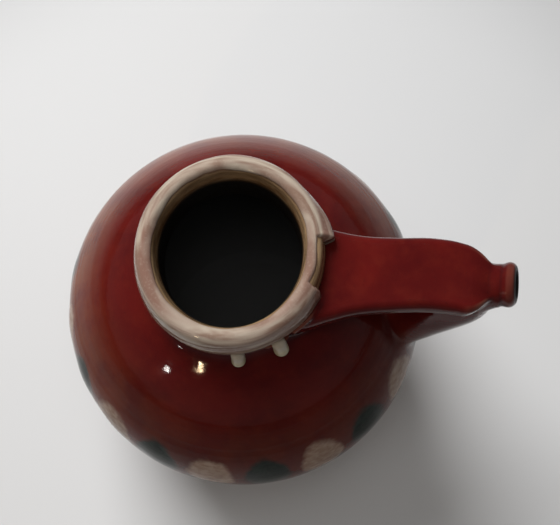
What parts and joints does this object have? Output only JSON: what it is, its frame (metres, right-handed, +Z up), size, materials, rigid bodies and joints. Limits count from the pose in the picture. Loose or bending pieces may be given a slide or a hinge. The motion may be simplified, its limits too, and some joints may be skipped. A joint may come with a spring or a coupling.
{
  "type": "sake bottle",
  "caption": "Round glazed pouring bottle with a thick open collar, a strap from collar to spout, a small flared nozzle and a ring of glaze dabs.",
  "frame": {"origin": "on the axis of the belly, on the plane that the foot ring stands on", "axes": "+Z up out of the mouth, +X from the axis towards the spout"},
  "size_m": [0.144, 0.1252, 0.1325],
  "materials": {
    "red_glaze": "gloss",
    "brown_glaze": "gloss",
    "pale_glaze": "gloss",
    "pale_dab": "gloss",
    "dark_dab": "gloss",
    "bare_clay": "matte"
  },
  "bodies": {
    "root": {"foot_ring": "bare_clay", "lower_bowl": "red_glaze", "upper_shell": "red_glaze", "neck_collar": "brown_glaze", "spout_body": "red_glaze", "spout_nozzle": "red_glaze", "strap_handle": "red_glaze", "collar_glaze": "pale_glaze", "glaze_drips": "pale_glaze", "pale_spots": "pale_dab", "dark_spots": "dark_dab"}
  },
  "joints": []
}
